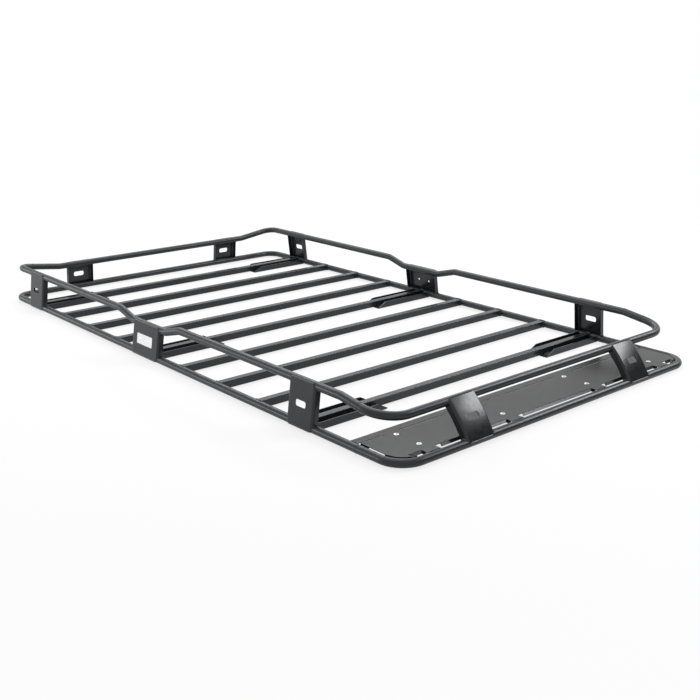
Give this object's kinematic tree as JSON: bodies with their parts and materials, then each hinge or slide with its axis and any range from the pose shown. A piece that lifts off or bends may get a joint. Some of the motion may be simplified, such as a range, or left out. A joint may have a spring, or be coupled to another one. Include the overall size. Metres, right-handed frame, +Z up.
{
  "type": "flat platform roof rack",
  "caption": "Flat welded platform roof rack: square crossbars in a round tube ring, low guard rail on sheet uprights, front panel and open mounting channels.",
  "frame": {"origin": "centre of the rack on the plane of the channels' undersides", "axes": "+Z up, +Y along the rack to its rear, the panel end at -Y, +X to the right seen from the front"},
  "size_m": [1.3728, 2.3635, 0.1527],
  "materials": {
    "powder_coat": "satin black powder coat over steel",
    "plate": "plain pale plate"
  },
  "bodies": {
    "root": {"deck_tube_left": "powder_coat", "deck_tube_right": "powder_coat", "deck_tube_front": "powder_coat", "deck_tube_rear": "powder_coat", "rail_left": "powder_coat", "rail_right": "powder_coat", "rail_front": "powder_coat", "rail_rear": "powder_coat", "rail_corner_left": "powder_coat", "rail_corner_right": "powder_coat", "crossbar_1": "powder_coat", "crossbar_2": "powder_coat", "crossbar_3": "powder_coat", "crossbar_4": "powder_coat", "crossbar_5": "powder_coat", "crossbar_6": "powder_coat", "crossbar_7": "powder_coat", "crossbar_8": "powder_coat", "crossbar_9": "powder_coat", "upright_rear_left": "powder_coat", "upright_rear_right": "powder_coat", "upright_middle_left": "powder_coat", "upright_middle_right": "powder_coat", "upright_front_left": "powder_coat", "upright_front_right": "powder_coat", "end_upright_left": "powder_coat", "end_upright_right": "powder_coat", "front_bracket_left": "powder_coat", "front_bracket_right": "powder_coat", "channel_rear_left": "powder_coat", "channel_rear_right": "powder_coat", "channel_middle_left": "powder_coat", "channel_middle_right": "powder_coat", "channel_front_left": "powder_coat", "channel_front_right": "powder_coat", "front_panel": "powder_coat", "badge_plate": "plate"}
  },
  "joints": []
}
